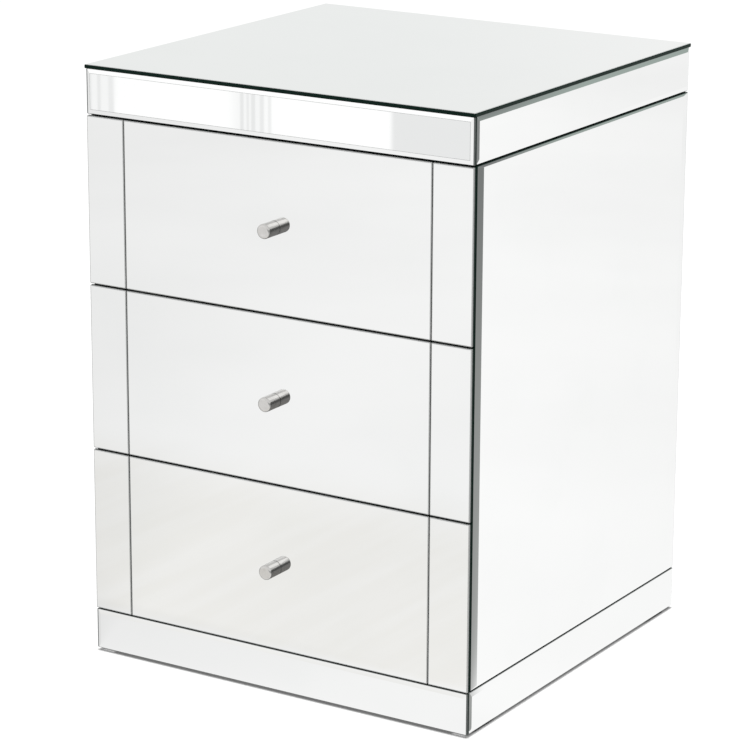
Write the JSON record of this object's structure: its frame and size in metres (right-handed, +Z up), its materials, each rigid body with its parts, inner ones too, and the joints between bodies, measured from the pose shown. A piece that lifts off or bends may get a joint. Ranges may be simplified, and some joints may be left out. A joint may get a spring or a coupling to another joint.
{
  "type": "mirrored nightstand",
  "caption": "Mirrored nightstand: a box faced with silvered glass, bevelled strips at its top and plinth, and full-width drawers with cylindrical knobs on telescopic runners.",
  "frame": {"origin": "on the floor, midway between the sides and midway between the knob tips and the back", "axes": "+Z up, the drawers open along -Y, +X to the right of someone facing the drawers"},
  "size_m": [0.45, 0.459, 0.62],
  "materials": {
    "mirror_glass": "silvered glass, polished",
    "silver_painted_board": "fibreboard, satin silver-grey paint",
    "back_panel": "thin fibreboard, matt grey paint",
    "drawer_box_foil": "fibreboard wrapped in grey wood-grain foil",
    "flocked_bottom": "fibreboard with a black flocked face",
    "zinc_steel": "zinc-plated sheet steel",
    "polished_nickel": "polished nickel plate",
    "plated_screw": "zinc-plated steel",
    "glide_plastic": "matt black plastic",
    "clear_bumper": "clear soft plastic"
  },
  "bodies": {
    "cabinet": {"back_board": "back_panel", "back_board_screws": "plated_screw", "base_board": "silver_painted_board", "drawer_bumpers": "clear_bumper", "foot_glides": "glide_plastic", "frieze_board": "silver_painted_board", "front_frieze_mirror": "mirror_glass", "front_plinth_mirror": "mirror_glass", "left_cabinet_runners": "zinc_steel", "left_frieze_mirror": "mirror_glass", "left_plinth_mirror": "mirror_glass", "left_side_board": "silver_painted_board", "left_side_mirror": "mirror_glass", "lower_rail": "silver_painted_board", "plinth_back_board": "silver_painted_board", "plinth_front_board": "silver_painted_board", "right_cabinet_runners": "zinc_steel", "right_frieze_mirror": "mirror_glass", "right_plinth_mirror": "mirror_glass", "right_side_board": "silver_painted_board", "right_side_mirror": "mirror_glass", "top_board": "silver_painted_board", "top_mirror_plate": "mirror_glass", "upper_rail": "silver_painted_board"},
    "bottom_drawer": {"bottom_drawer_back": "drawer_box_foil", "bottom_drawer_bottom": "flocked_bottom", "bottom_drawer_centre_mirror": "mirror_glass", "bottom_drawer_front_board": "silver_painted_board", "bottom_drawer_knob": "polished_nickel", "bottom_drawer_knob_screw": "plated_screw", "bottom_drawer_left_mirror": "mirror_glass", "bottom_drawer_left_side": "drawer_box_foil", "bottom_drawer_right_mirror": "mirror_glass", "bottom_drawer_right_side": "drawer_box_foil", "bottom_drawer_runners": "zinc_steel"},
    "bottom_runners": {"bottom_travelling_runners": "zinc_steel"},
    "middle_drawer": {"middle_drawer_back": "drawer_box_foil", "middle_drawer_bottom": "flocked_bottom", "middle_drawer_centre_mirror": "mirror_glass", "middle_drawer_front_board": "silver_painted_board", "middle_drawer_knob": "polished_nickel", "middle_drawer_knob_screw": "plated_screw", "middle_drawer_left_mirror": "mirror_glass", "middle_drawer_left_side": "drawer_box_foil", "middle_drawer_right_mirror": "mirror_glass", "middle_drawer_right_side": "drawer_box_foil", "middle_drawer_runners": "zinc_steel"},
    "middle_runners": {"middle_travelling_runners": "zinc_steel"},
    "top_drawer": {"top_drawer_back": "drawer_box_foil", "top_drawer_bottom": "flocked_bottom", "top_drawer_centre_mirror": "mirror_glass", "top_drawer_front_board": "silver_painted_board", "top_drawer_knob": "polished_nickel", "top_drawer_knob_screw": "plated_screw", "top_drawer_left_mirror": "mirror_glass", "top_drawer_left_side": "drawer_box_foil", "top_drawer_right_mirror": "mirror_glass", "top_drawer_right_side": "drawer_box_foil", "top_drawer_runners": "zinc_steel"},
    "top_runners": {"top_travelling_runners": "zinc_steel"}
  },
  "joints": [
    {"name": "bottom_drawer_slide", "type": "slide", "parent": "cabinet", "child": "bottom_drawer", "axis": [0, -1, 0], "range_m": [0, 0.34]},
    {"name": "bottom_runner_slide", "type": "slide", "parent": "cabinet", "child": "bottom_runners", "axis": [0, -1, 0], "range_m": [0, 0.17]},
    {"name": "middle_drawer_slide", "type": "slide", "parent": "cabinet", "child": "middle_drawer", "axis": [0, -1, 0], "range_m": [0, 0.34]},
    {"name": "middle_runner_slide", "type": "slide", "parent": "cabinet", "child": "middle_runners", "axis": [0, -1, 0], "range_m": [0, 0.17]},
    {"name": "top_drawer_slide", "type": "slide", "parent": "cabinet", "child": "top_drawer", "axis": [0, -1, 0], "range_m": [0, 0.34]},
    {"name": "top_runner_slide", "type": "slide", "parent": "cabinet", "child": "top_runners", "axis": [0, -1, 0], "range_m": [0, 0.17]}
  ],
  "couplings": [
    {"joint": "bottom_runner_slide", "follows": "bottom_drawer_slide", "ratio": 0.5},
    {"joint": "middle_runner_slide", "follows": "middle_drawer_slide", "ratio": 0.5},
    {"joint": "top_runner_slide", "follows": "top_drawer_slide", "ratio": 0.5}
  ]
}
